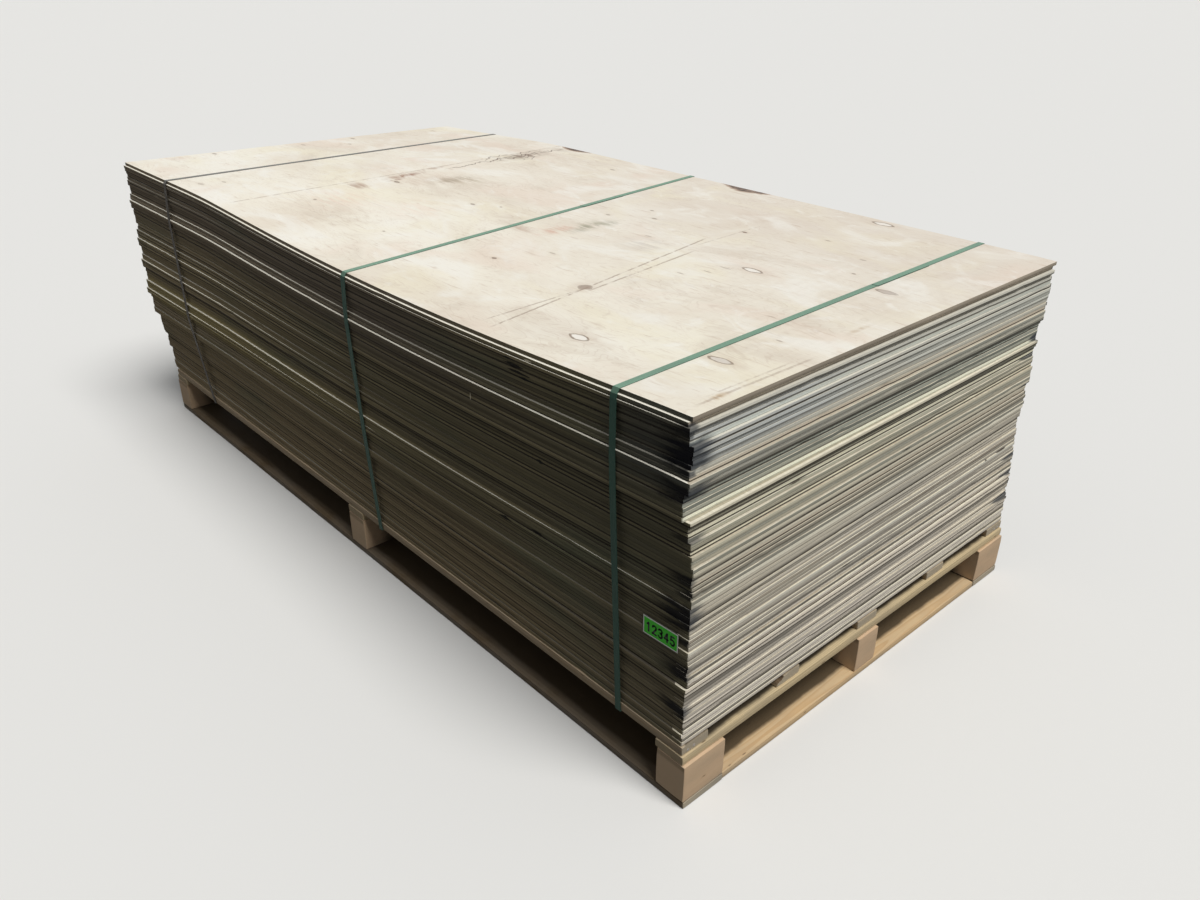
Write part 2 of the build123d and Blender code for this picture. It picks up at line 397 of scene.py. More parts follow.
def veneer_defects(p, colour):
    """Stains, bark, knots, patches and joints of the top sheet."""
    jag = p.noise(p.scaled(30.0, 90.0, 1.0), 3, 0.6) - 0.5
    wander = p.noise(p.scaled(5.0, 9.0, 1.0), 4, 0.6, 1.0) - 0.5
    streak = p.noise(p.scaled(9.0, 60.0, 1.0), 4, 0.65, 0.6)
    bend = p.noise(p.scaled(2.0, 7.0, 1.0), 2, 0.5, 2.0) - 0.5
    gate = p.step(p.noise(p.scaled(14.0, 34.0, 1.0), 3, 0.7), 0.36, 0.52, 0.15, 1.0)

    def oval(cx, cy, half_x, half_y, wobble):
        """0 in the middle of a pointed oval, 1 on its outline."""
        along = (p.x - cx) / half_x + wander * wobble
        across = (p.y - cy) / half_y + jag * wobble
        return abs(along) ** 1.5 + abs(across) ** 1.5

    for cx, cy, half_x, half_y, tint, depth in metres(VENEER_STAINS):
        along = (p.x - cx) / half_x + wander * 1.6
        across = (p.y - cy) / half_y + wander * (1.6 * 0.7)
        reach = p.math("SQRT", along * along + across * across)
        share = p.step(streak, 0.36, 0.62) * depth
        colour = p.tinted(colour, (reach, 1.25, 0.1, share, tint))
    for cx, half_x, depth in BARK_BREAKS:
        along = spans(p.x, cx, half_x) + jag * 0.9
        reach = along * along + ((STACK_FAR_Y - p.y) / depth + wander * 1.1)
        colour = p.tinted(
            colour, (p.step(reach, 1.25, 0.95), (0.46, 0.34, 0.26)),
            (reach, 0.95, 0.7, p.step(jag, -0.16, 0.1, 0.45, 1.0), (0.085, 0.058, 0.044)))
    for cx, cy, half_x, half_y, depth in metres(VENEER_KNOTS):
        reach = oval(cx, cy, half_x, half_y, 0.9)
        colour = p.tinted(colour, (reach, 3.4, 0.8, 0.28 * depth, (0.48, 0.34, 0.24)),
                          (reach, 1.1, 0.5, depth, (0.16, 0.095, 0.06)))
    for cx, cy, half_x, half_y, tone in metres(VENEER_PATCHES):
        reach = oval(cx, cy, half_x, half_y, 0.7)
        halo = p.step(streak, 0.32, 0.58) * 0.34
        core = tuple(light * tone + dark * (1 - tone)
                     for light, dark in zip((0.92, 0.89, 0.83), (0.33, 0.25, 0.2)))
        outline = p.step(streak, 0.34, 0.54, 0.2 * tone + 0.2, 0.3 * tone + 0.55)
        colour = p.tinted(colour, (reach, 6.0, 1.0, halo, (0.58, 0.46, 0.37)),
                          (reach, 1.0, 0.7, 0.8, core),
                          (abs(reach - 1.05), 0.36, 0.1, outline, (0.21, 0.145, 0.1)))
    for x_at_zero, slope, width, y_low, y_high, depth in VENEER_JOINTS:
        line = abs(p.x - p.y * slope - x_at_zero + jag * 0.004)
        span = p.step(p.y, y_low - 0.02, y_low + 0.02) * p.step(p.y, y_high + 0.04, y_high)
        share = span * gate * depth
        colour = p.tinted(colour, (line, width * 2.2, width * 0.6, share, (0.34, 0.25, 0.19)))
    for shift_x, sway, y_low, y_high, width in BARK_CRACKS:
        seam = abs(p.x + shift_x + (bend * sway + jag * 0.01))
        span = p.step(p.y, y_low, y_low + 0.09) * p.step(p.y, y_high, y_high - 0.07)
        share = span * p.step(streak, 0.34, 0.48, 0.25, 0.85)
        colour = p.tinted(colour, (seam, width, width * 0.2, share, (0.15, 0.1, 0.075)))
    return colour


def rim_dust_and_painted_light(p, colour, dash):
    """The rims of the sheets in the pile. Along the long side they get painted shade, nearly black,
    and a painted highlight on the lip of a few sheets. On the end they are dusty, with a painted
    highlight on some lips and painted shade, partly dust, behind the lip.
    """
    on_end = p.math("LESS_THAN", cad_high.x - p.x, p.y - cad_low.y)
    number = p.math("FLOOR", (p.z - DECK_TOP) / SHEET_PITCH - 0.5)
    own, own_b, _ = p.parts(p.white(number, "Color"))
    rim_highlight = p.step(p.x, -0.9, 0.4, own * 0.5, 0.04)
    for rank, right, left in BRIGHT_RIMS:
        here = p.math("COMPARE", number, float(SHEET_COUNT - rank), 0.5)
        rim_highlight = rim_highlight + here * p.step(p.x, -0.9, 0.4, left, right)
    drawn = p.noise(p.scaled(140.0, 5.0, 1.0), 3, 0.65)
    dusty = p.tinted(
        p.mix(own, (0.5, 0.45, 0.36), (0.8, 0.74, 0.56)),
        (dash, 0.4, 0.62, 0.55, (0.4, 0.34, 0.25)),
        (drawn, 0.46, 0.62, 0.55, (0.47, 0.4, 0.29)),
        (number, SHEET_COUNT - 13.0, SHEET_COUNT - 10.0, 0.75, (0.5, 0.5, 0.46)))
    on_lip = p.step(p.attribute("lip"), 0.05, 0.26)
    # Painted highlight: the rim veneer is lightened nearly to white, as a ledge in full light
    colour = p.mix(0.7, colour, (1.0, 0.97, 0.86))
    # Long side: painted shade, nearly black, except on the highlighted lips. End: dust, with a
    # painted highlight on some lips
    colour = p.mix(on_end, p.mix(rim_highlight * on_lip, (0.085, 0.072, 0.05), colour),
                   p.mix(own_b * 0.5 * on_lip, dusty, colour))
    # Painted shade, partly dust: the ledges of the end turn greyer behind the lip, under the sheet
    # above
    colour = p.mix(on_end * (1.0 - on_lip) * 0.6, colour, (0.36, 0.33, 0.25))
    return paint_marks(p, colour, on_end, (0.02, 0.02, 0.02), (0.05, 0.055, 0.065))


def veneer_paint(name, marked, seed):
    """Pale rotary-cut birch, grain along X. The marked one carries the knots and joints."""
    p = Paint(name, 0.62, 0.3, settled=True)
    x, y, _ = p.parts(p.value("VectorMath", p.point, (seed * 3.1, seed * 1.7, seed * 0.9)))

    def veil(along, across, shift, detail, rough, warp=0.0):
        return p.noise((x * along, y * across, seed + shift), detail, rough, warp)

    broad = veil(1.6, 2.6, 0.0, 3, 0.55, 0.4)
    cloud = veil(3.2, 6.0, 4.0, 4, 0.55, 1.2)
    rings = p.math("PINGPONG", veil(4.0, 12.0, 8.0, 3, 0.5, 1.6) * 11.0, 0.5)
    fleck = veil(55.0, 700.0, 0.0, 2, 0.6)
    fibre = veil(12.0, 260.0, 2.0, 3, 0.6)
    shimmer = veil(6.5, 10.0, 6.0, 3, 0.6, 1.6)
    tinge = veil(2.2, 3.6, 14.0, 3, 0.5, 0.8)
    dash = veil(13.0, 95.0, 17.0, 3, 0.6, 0.3)
    mottle = veil(15.0, 34.0, 21.0, 3, 0.6, 0.8)
    colour = p.ramp(broad, (0.3, (0.775, 0.695, 0.59)), (0.44, (0.83, 0.77, 0.66)),
                    (0.56, (0.89, 0.845, 0.74)), (0.72, (0.925, 0.9, 0.82)))
    if marked:
        dusk = p.step(p.x, -0.9, 0.7, 0.35, 1.0) * 0.7
        colour = p.tinted(colour, (p.y, -0.45, 0.55, dusk, (0.735, 0.665, 0.585)))
    colour = p.tinted(
        colour,
        (tinge, 0.5, 0.68, 0.38, (0.86, 0.8, 0.6)),
        (tinge, 0.47, 0.3, 0.42, (0.8, 0.66, 0.56)),
        (cloud, 0.5, 0.68, 0.55, (0.91, 0.895, 0.84)),
        (cloud, 0.46, 0.28, 0.5, (0.68, 0.6, 0.5)),
        (shimmer, 0.56, 0.74, 0.42, (0.94, 0.93, 0.88)),
        (rings, 0.16, 0.0, p.step(cloud, 0.6, 0.35, 0.04, 0.24), (0.52, 0.4, 0.31)),
        (dash, 0.58, 0.74, 0.42, (0.54, 0.41, 0.31)),
        (fibre, 0.55, 0.75, 0.2, (0.58, 0.47, 0.36)),
        (fleck, 0.62, 0.74, 0.25, (0.5, 0.38, 0.27)),
        (mottle, 0.54, 0.7, 0.2, (0.66, 0.56, 0.45)))
    colour = veneer_defects(p, colour) if marked else rim_dust_and_painted_light(p, colour, dash)
    height = fibre * 0.6 + fleck * 0.4
    return p.finish(colour, p.step(broad, 0.3, 0.7, 0.68, 0.56), p.bump(height, 0.0004, 0.5))


# Sawn edges of the sheets

SOOT = (0.008, 0.008, 0.008)
SPLINTER = (0.75, 0.68, 0.52)
# Marks on the near long side. Each row: middle x, z, half length, half height, all in
# millimetres, and colour
SIDE_MARKS = [
    (762, 850, 30, 4, SOOT), (772, 838, 36, 4.5, SOOT), (786, 826, 38, 4.5, SOOT),
    (805, 816, 26, 3.5, SOOT), (841, 646, 16, 5, SOOT), (709, 449, 20, 6, SOOT),
    (812, 459, 20, 5, SOOT), (627, 722, 2.2, 11, SPLINTER), (822, 862, 12, 2.2, SPLINTER),
    (-35, 312, 10, 3, SPLINTER),
]


def edge_paint(name):
    """Glued veneers seen on edge: pale and greyish on the ends, nearly black along the sides, which
    is a little darker long grain and mostly painted shade for the long sides that the light hardly
    reaches.
    """
    p = Paint(name, 0.8, 0.04, settled=True)
    level = (p.z - DECK_TOP) / SHEET_PITCH
    number = p.math("FLOOR", level)
    within = p.math("FRACT", level)
    tone, tone_b, tone_c = p.parts(p.white(number, "Color"))
    batch = p.noise((number * 0.31, 2.0, 5.0), 2, 0.6)
    run = p.x + p.y

    # Tone of each sheet, then clouds and fine streaks along it
    along = p.noise((run * 1.1, number * 7.3, 0.0), 3, 0.55)
    streak = p.noise((run * 3.0, p.z * 420.0, 3.0), 3, 0.6)
    spots = p.noise((run * 170.0, p.z * 700.0, 6.0), 2, 0.6)
    cloud = p.noise((run * 2.0, p.z * 7.0, 9.0), 3, 0.5)
    mood = tone * 0.58 + batch * 0.24 + along * 0.24
    bluish = p.step(level, 68.0, 70.5) * p.step(level, 77.8, 76.0) * 0.6
    ends = p.tinted(
        p.ramp(level / SHEET_COUNT,
               (0.0, (0.62, 0.565, 0.49)), (0.35, (0.66, 0.61, 0.52)), (0.55, (0.72, 0.67, 0.54)),
               (0.68, (0.75, 0.72, 0.55)), (0.78, (0.67, 0.71, 0.62)), (0.84, (0.76, 0.71, 0.59)),
               (0.88, (0.72, 0.73, 0.66)), (0.96, (0.7, 0.69, 0.61)), (1.0, (0.68, 0.64, 0.54))),
        (p.y, 0.15, -0.45, bluish, (0.56, 0.6, 0.62)),
        (tone_b, 0.66, 0.95, 0.3, (0.66, 0.5, 0.36)),
        (tone_c, 0.66, 0.95, p.step(level, 16.0, 34.0, 0.05, 0.4), (0.46, 0.52, 0.47)),
        (cloud, 0.52, 0.72, 0.25, (0.44, 0.44, 0.42)),
        (cloud, 0.46, 0.28, 0.25, (0.76, 0.69, 0.54)))
    gain = p.line(mood, 0.2, 0.8, 0.32, 1.6)
    gain = p.between(p.step(level, 65.0, 69.0) * 0.62, gain, 1.05)
    ends = p.mix(1.0, ends, p.join(gain, gain, gain), "MULTIPLY")
    top_edge = p.mix(p.step(along, 0.42, 0.62), (0.36, 0.29, 0.22), (0.6, 0.5, 0.39))
    ends = p.tinted(ends, (number, SHEET_COUNT - 2.6, SHEET_COUNT - 2.4, 0.72, top_edge))
    leftward = p.step(p.x, 0.6, -1.0)
    # Painted shade: the long sides are painted many times darker than the ends
    shaded_sides = p.tinted(
        p.ramp(mood, (0.22, (0.115, 0.098, 0.06)), (0.45, (0.185, 0.162, 0.098)),
               (0.62, (0.235, 0.205, 0.12)), (0.8, (0.29, 0.245, 0.145))),
        (leftward * 0.55, (0.4, 0.315, 0.185)),
        (leftward * p.step(tone_b, 0.7, 0.95, 0.0, 0.5), (0.58, 0.48, 0.33)),
        (abs(p.z - 0.466), 0.055, 0.02, leftward * 0.5, (0.44, 0.37, 0.15)),
        (p.z, 0.5, 0.22, 0.55, (0.3, 0.225, 0.135)),
        (p.step(p.x, 0.65, 1.15, 0.0, 0.38), (0.115, 0.12, 0.088)),
        (p.x, 0.96, 1.14, p.step(p.z, 0.69, 0.76) * 0.62, (0.055, 0.063, 0.068)),
        (p.z, 0.64, 0.8, p.step(p.x, 1.0, 0.2) * 0.55, (0.17, 0.14, 0.13)),
        (cloud, 0.5, 0.75, 0.45, (0.13, 0.158, 0.105)))

    # Veneers inside a sheet, hardly told apart from a few steps away
    ply = within * PLY_COUNT
    ply_noise = p.noise((run * 25.0, number * 3.0, ply), 2, 0.5)
    turned = p.step(ply_noise, 0.25, 0.7, 0.35, 1.0) * 0.16
    glue = p.math("PINGPONG", ply + 0.5, 0.5)
    on_end = p.step(abs(p.facing()[0]), 0.4, 0.8)
    colour = p.mix(on_end, shaded_sides, ends)
    colour = p.tinted(
        colour,
        (p.math("PINGPONG", ply, 1.0), 0.35, 0.65, turned, p.mix(0.72, colour, (0.06, 0.045, 0.03))),
        (glue, 0.1, 0.0, 0.12, (0.07, 0.045, 0.03)),
        (streak, 0.54, 0.74, 0.3, p.mix(on_end, (0.045, 0.036, 0.026), (0.22, 0.2, 0.16))),
        (streak, 0.44, 0.26, p.between(on_end, 0.12, 0.36),
         p.mix(on_end, (0.22, 0.18, 0.12), (0.9, 0.85, 0.7))),
        (spots, 0.5, 0.72, p.mix(on_end, (0.05,) * 3, (0.18,) * 3), (0.12, 0.105, 0.085)))

    # Pale arris of the face veneer on some sheets, partly a painted highlight: near white on the lit
    # end and hardly shown on the shaded sides. Then the dark joint to the next sheet
    worn = p.noise((run * 6.0, number * 5.1, 12.0), 3, 0.6)
    some = (p.step(tone_c, 0.4, 0.58) * p.step(worn, 0.36, 0.56, 0.3, 1.0)
            * p.step(level, 66.0, 70.0, 1.0, 0.45))
    open_joint = p.step(tone_b, 0.24, 0.6, 0.3, 1.0) * p.step(batch, 0.36, 0.56, 0.7, 1.0)
    wide_joint = p.step(tone_c, 0.3, 0.8, 0.46, 0.18)
    colour = p.tinted(
        colour,
        (within, 0.78, 0.86, some * p.between(on_end, 0.04, 0.98), (1.0, 0.95, 0.78)),
        (wide_joint - within, 0.0, 0.06, open_joint * 0.94,
         p.mix(on_end, (0.022, 0.018, 0.015), (0.05, 0.042, 0.032))))
    colour = paint_marks(p, colour, on_end, (0.006, 0.006, 0.008), (0.055, 0.064, 0.078))
    smear = (p.noise(p.scaled(30.0, 30.0, 170.0), 3, 0.6) - 0.5) * 1.6
    near_side = (1.0 - on_end) * p.math("LESS_THAN", p.y, STACK_MIDDLE_Y) * 0.95
    for middle_x, middle_z, half_x, half_z, tint in metres(SIDE_MARKS):
        reach = spans(p.x, middle_x, half_x) + spans(p.z, middle_z, half_z) + smear
        colour = p.tinted(colour, (reach, 1.15, 0.75, near_side, tint))
    height = streak * 0.5 + spots * 0.5
    return p.finish(colour, p.step(streak, 0.3, 0.7, 0.85, 0.66), p.bump(height, 0.0006, 0.6))


# Pine of the pallet

RING_PITCH = 0.0042  # between two years of growth


def timber_paint(name, early, late, dirt, knotty, fresh_end=None):
    """Softwood cut from round rings. Its coordinates run along the board and out from the pith."""
    p = Paint(name, 0.75, 0.1)
    a, b, c = p.parts(p.attribute("grain", "Vector"))

    def woody(along, across, detail, rough):
        return p.noise((a * along, b * across, c * across), detail, rough)

    bend = woody(1.8, 7.0, 3, 0.5) - 0.5
    fibre = woody(14.0, 420.0, 3, 0.6)
    cloud = woody(3.0, 14.0, 4, 0.55)
    saw = woody(330.0, 12.0, 1, 0.4)
    grime = p.noise(p.scaled(6.0, 6.0, 22.0), 4, 0.6)
    radius = p.math("SQRT", b * b + c * c) + bend * 0.02
    turn = p.math("FRACT", radius / RING_PITCH)
    late_band = p.step(turn, 0.35, 0.92) * p.step(turn, 1.0, 0.95)
    ending = p.attribute("cut")
    cells = p.node("TexVoronoi", p.join(a * 3.1, b * 14.0, c * 14.0))
    eye = Value(p, cells.outputs["Distance"]) + bend * 0.1
    lot = p.parts(Value(p, cells.outputs["Color"]))[0]
    chosen = p.step(lot, 1.0 - knotty, 1.0 - knotty + 0.02)
    end_tone = p.tinted(dirt, (late_band * 0.5, late), (fibre, 0.4, 0.7, 0.35, early))
    colour = p.tinted(
        early,
        (late_band * 0.55, late),
        (fibre, 0.48, 0.72, 0.3, late),
        (cloud, 0.5, 0.72, 0.34, dirt),
        (cloud, 0.45, 0.25, 0.25, tuple(min(1.0, v * 1.2) for v in early)),
        (eye, 0.22, 0.09, chosen * 0.35, late),
        (eye, 0.115, 0.075, chosen * (1.0 - ending) * 0.8, (0.085, 0.045, 0.025)),
        (ending * 0.62, end_tone))
    if fresh_end:
        colour = p.mix(ending * 0.8, colour, fresh_end)

    # Dusty near the floor. Painted shade deeper inside the pallet, a painted shadow of the load on
    # the faces that look up under it, and painted shade on the faces that face along y above the
    # base
    low = p.step(p.z, 0.03, 0.0)
    from_end = SHEET_LENGTH / 2 - abs(p.x)
    from_side = STACK_WIDTH / 2 - abs(p.y)
    edge_near = p.math("MINIMUM", from_end, from_side) + (grime - 0.5) * 0.02
    _, facing_side, facing_up = p.facing()
    # Painted shadow of the load: it starts further in from the outline the deeper a face lies under
    # the deck, nearly black up under it
    reach = (DECK_TOP - p.z) * 0.17 + 0.004 + p.step(p.z, 0.1, 0.12, 0.0, 0.008)
    # Painted shade on the faces that face along y above the base: the long sides of the deck boards
    # and the ends of the stringers
    side_shade = p.step(p.z, 0.096, 0.104) * 0.42
    shade = p.mix(p.step(p.z, 0.1, 0.12), (0.07, 0.05, 0.029), (0.016, 0.012, 0.008))
    colour = p.tinted(
        colour,
        (grime, 0.5, 0.7, 0.3, dirt),
        (grime, 0.3, 0.6, low * 0.45, (0.3, 0.28, 0.25)),
        # Painted shade deeper inside the pallet
        (edge_near, 0.038, 0.085, 0.88, (0.06, 0.042, 0.027)),
        (edge_near - reach, -0.003, 0.009, p.step(facing_up, 0.5, 0.9) * 0.94, shade),
        (abs(facing_side), 0.5, 0.9, side_shade, (0.135, 0.095, 0.058)))
    height = fibre * 0.55 + (saw * 0.25 + late_band * 0.12)
    return p.finish(colour, p.step(fibre, 0.3, 0.7, 0.78, 0.62), p.bump(height, 0.001, 0.6))


def bark_paint():
    p = Paint("bark_edge", 0.85, 0.15)
    scale = p.noise(p.scaled(22.0, 90.0, 90.0), 5, 0.65, 0.8)
    colour = p.ramp(scale, (0.3, (0.03, 0.02, 0.013)), (0.52, (0.09, 0.06, 0.036)),
                    (0.75, (0.22, 0.155, 0.095)))
    return p.finish(colour, None, p.bump(scale, 0.003, 0.8))


def strap_paint():
    """Embossed green polyester strap, a little see-through, so it looks darker over dark edges; its
    side faces are also partly painted shade.
    """
    p = Paint("strap_green", 0.5, 0.08, settled=True)
    u, v = p.x, p.y + p.z
    weave = p.math("SINE", u * 2600.0) * p.math("SINE", v * 2600.0)
    wide = p.noise((v * 7.0, u * 30.0, 0.0), 3, 0.6)
    scuff = p.noise((v * 60.0, u * 900.0, 4.0), 3, 0.6)
    flat = p.step(p.facing()[2], 0.3, 0.8)
    far = p.step(p.x, 0.2, -0.9)
    over_veneer = p.mix(far, (0.2, 0.345, 0.255), (0.19, 0.185, 0.175))
    # Side faces: the dark edges showing through, and partly painted shade
    over_edges_shaded = p.mix(far, (0.036, 0.086, 0.064), (0.062, 0.05, 0.04))
    colour = p.tinted(
        p.mix(flat, over_edges_shaded, over_veneer),
        (wide, 0.45, 0.7, 0.35, p.mix(flat, (0.03, 0.052, 0.042), (0.15, 0.225, 0.18))),
        (scuff, 0.58, 0.75, 0.22, p.mix(flat, (0.075, 0.13, 0.1), (0.36, 0.47, 0.4))),
        (weave, 0.1, 0.9, 0.1, p.mix(flat, (0.058, 0.11, 0.085), (0.32, 0.45, 0.38))))
    return p.finish(colour, p.step(scuff, 0.3, 0.7, 0.4, 0.56), p.bump(weave, 0.00018, 0.6))


def steel_paint():
    p = Paint("nail_steel", 0.42, 0.5)
    p.fill(p.shader, {"Metallic": 0.85})
    rust = p.noise(p.scaled(900.0, 900.0, 900.0), 4, 0.65)
    colour = p.ramp(rust, (0.35, (0.22, 0.21, 0.2)), (0.55, (0.38, 0.36, 0.34)),
                    (0.72, (0.2, 0.11, 0.06)))
    return p.finish(colour, p.step(rust, 0.3, 0.7, 0.35, 0.7), p.bump(rust, 0.0003, 0.5))


def card_paint(name, colour, speck):
    p = Paint(name, 0.55, 0.12)
    grain = p.noise(p.scaled(260.0, 260.0, 260.0), 3, 0.6)
    shade = p.noise(p.scaled(30.0, 30.0, 30.0), 2, 0.5)
    mixed = p.tinted(colour, (grain, 0.45, 0.75, 0.25, speck), (shade, 0.4, 0.7, 0.18, speck))
    return p.finish(mixed, p.step(grain, 0.3, 0.7, 0.4, 0.55), p.bump(grain, 0.0001, 0.4))


veneer_top = veneer_paint("veneer_top", True, 1.0)
veneer_plain = veneer_paint("veneer_plain", False, 5.0)
sheet_edges = edge_paint("sheet_edges")
# Each row: name, early wood, late wood, dirt, share of knots and, if it is freshly cut, its ends
PINES = [
    ("pine_pale", (0.64, 0.52, 0.325), (0.46, 0.34, 0.185), (0.38, 0.32, 0.235), 0.35),
    ("pine_block", (0.66, 0.485, 0.325), (0.5, 0.33, 0.19), (0.46, 0.36, 0.25), 0.2),
    ("pine_warm", (0.71, 0.52, 0.3), (0.58, 0.355, 0.165), (0.5, 0.39, 0.25), 0.35),
    # Painted shade: a near-black copy of pine for the base boards that lie in shade, under the load
    # and along the near side; its ends keep a lit pine colour
    ("pine_damp", (0.125, 0.09, 0.052), (0.085, 0.055, 0.03), (0.075, 0.06, 0.04), 0.3,
     (0.6, 0.52, 0.39)),
    ("pine_grey", (0.52, 0.42, 0.29), (0.36, 0.26, 0.155), (0.27, 0.235, 0.19), 0.45,
     (0.46, 0.4, 0.3)),
]
pine_ends, pine_blocks, pine_warm, pine_damp, pine_grey = (timber_paint(*row) for row in PINES)
bark = bark_paint()
strap_green = strap_paint()
nail_steel = steel_paint()
card_white = card_paint("card_white", (0.74, 0.76, 0.72), (0.58, 0.62, 0.56))
card_green = card_paint("card_green", (0.055, 0.52, 0.028), (0.09, 0.6, 0.05))
ink_black = card_paint("ink_black", (0.012, 0.014, 0.012), (0.03, 0.03, 0.03))


# Meshes

# Sheets
RIM_STEPS = (0.0012, 0.03)  # shortest and longest step round the rim of a sheet
RIM_INSET = 0.00045  # the rim lies inside the plain outline by this and the saw marks
SAW_DEPTH = 0.0004
END_SETBACK = 0.0028  # sheets of one lift lie back from its outline by up to this
SIDE_SETBACK = 0.0007
END_TAPER = 0.002  # and by up to this much more toward the far corner of the right end
SET_TAPERS = {23: 0.0065}  # sheets, counted from the top, that plainly lie askew
CHIP_COUNTS = (2, 7)  # on one side of a sheet
CHIP_SIZES = ((0.004, 0.018), (0.0004, 0.0022))  # ranges of half length and depth
CORNER_CHIP_SIZES = ((0.002, 0.006), (0.0006, 0.0028))
SHEET_EASE = 0.0003
UNDER_LIP = 0.0012  # the strip under a sheet's rim that stays level
LIP = 0.0075  # outer strip of a sheet's top, where its ledge may carry a painted highlight; the rest of the ledge is painted darker, as shade and dust
SLACK = 0.0011  # how loosely a rim may lie
# Timber
BOARD_EASE = 0.0018
BOARD_ROUGH = 0.0009
BOARD_STEP = 0.05  # between the sections of a board
BLOCK_STEP = 0.02
FACE_STEP = 0.016  # between the points round a section
END_RUN = 1.2  # the ends are eased over this many times the ease
TOUCH = 1e-6  # points nearer than this lie on each other
PITH_ACROSS = (-0.4, 0.4)  # where a board's pith lay, in its widths and thicknesses
PITH_OUT = (0.7, 2.2)
WANE = (0.026, 0.013)  # width and depth of the bark edge
NAIL_RINGS = [(0.0035, -0.0004), (0.0035, 0.0002), (0.0028, 0.0008)]  # radius, how far out
NAIL_SIDES = 12
NAIL_PLACES = [(0.24, 0.3), (0.46, 0.36)]  # shares of the width and of the thickness
# Straps and label
STRAP_CUTS = 14
LABEL_NUMBER = "12345"
LABEL_TURN = 1.0
LABEL_BORDER = 0.0026
LABEL_SKIN = 0.00004
NUMBER_LENGTH = 0.86  # share of the card
DIGIT_WIDTH = 0.62  # share of a digit's place in the row
DIGIT_MIDDLE = 1.1
DIGIT_WEIGHT = 0.44
DOT_SIDES = 10


def add_object(name, data):
    made = bpy.data.objects.new(name, data)
    bpy.context.scene.collection.objects.link(made)
    return made


def finish_mesh(mesh, name, slot, paints, *replaced):
    """Turns the mesh into a piece that is dressed in the paints."""
    data = bpy.data.meshes.new(name)
    mesh.to_mesh(data)
    mesh.free()
    for paint in paints:
        data.materials.append(paint)
    piece = add_object(name, data)
    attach(piece, "root")
    if replaced:
        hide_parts(*replaced)


def skin(mesh, rings, paint_numbers=None):
    """Closes the bands between each ring of points and the next."""
    for band, (lower, upper) in enumerate(zip(rings, rings[1:])):
        for i, start in enumerate(lower):
            j = (i + 1) % len(lower)
            face = mesh.faces.new((start, lower[j], upper[j], upper[i]))
            if paint_numbers:
                face.material_index = paint_numbers[band]


def sheets_of(cad_object):
    """The four plan corners, in turn, and the bottom and top of each sheet of a lift."""
    levels = {}
    for vert in cad_object.data.vertices:
        levels.setdefault(round(vert.co.z, 5), []).append(vert.co)
    faces = [levels[key] for key in sorted(levels)]
    for under, over in zip(faces[::2], faces[1::2]):
        plan = {(round(point.x, 6), round(point.y, 6)) for point in under}
        middle = sum((Vector(c) for c in plan), Vector((0, 0))) / len(plan)
        corners = sorted(plan, key=lambda c: math.atan2(c[1] - middle.y, c[0] - middle.x))
        yield [Vector(c) for c in corners], under[0].z, over[0].z


def edge_samples(length, corner_step, long_step):
    """Places along one side, close together near both corners."""
    half, places, step = length / 2, [0.0], corner_step
    while places[-1] < half - long_step:
        places.append(places[-1] + step)
        step = min(long_step, step * 1.5)
    return places + [length - place for place in reversed(places) if place < half - TOUCH]


def sheet_rim(corners, seed, level):
    """Plan outline of one sheet, pulled in by small chips and saw marks."""
    rng = random.Random(seed)
    rim = []
    back_by = [most * max(0.0, rng.uniform(-0.7, 1.0))
               for most in (SIDE_SETBACK, END_SETBACK, SIDE_SETBACK, END_SETBACK)]
    taper = SET_TAPERS.get(SHEET_COUNT - level, rng.uniform(0.0, END_TAPER))
    if level == SHEET_COUNT - 1:
        back_by, taper = [0.0] * 4, 0.0
    skew = [0.0, taper, 0.0, 0.0]
    for side in range(4):
        start, end = corners[side], corners[(side + 1) % 4]
        length = SHEET_LENGTH if side % 2 == 0 else STACK_WIDTH
        before, after = back_by[side - 1] + skew[side - 1], back_by[(side + 1) % 4]
        forward = (end - start) / length
        inward = Vector((-forward.y, forward.x))
        chips = [(rng.uniform(0.0, length), *(rng.uniform(*most) for most in CHIP_SIZES))
                 for _ in range(rng.randint(*CHIP_COUNTS))]
        for at in (0.0, length):
            chips.append((at, *(rng.uniform(*most) for most in CORNER_CHIP_SIZES)))
        for place in edge_samples(length, *RIM_STEPS)[:-1]:
            saw = noise.noise(Vector((place * 7.0, level * 3.7, side * 9.1 + seed))) * SAW_DEPTH
            nick = sum(depth * max(0.0, 1 - abs(place - at) / wide) for at, wide, depth in chips)
            into = RIM_INSET + saw + nick + back_by[side] + skew[side] * place / length
            point = start + forward * (before + place * (length - before - after) / length)
            if place == 0.0:
                rim.append(point + inward * back_by[side] + (forward + inward) * nick * 0.5)
            else:
                rim.append(point + inward * into)
    return rim


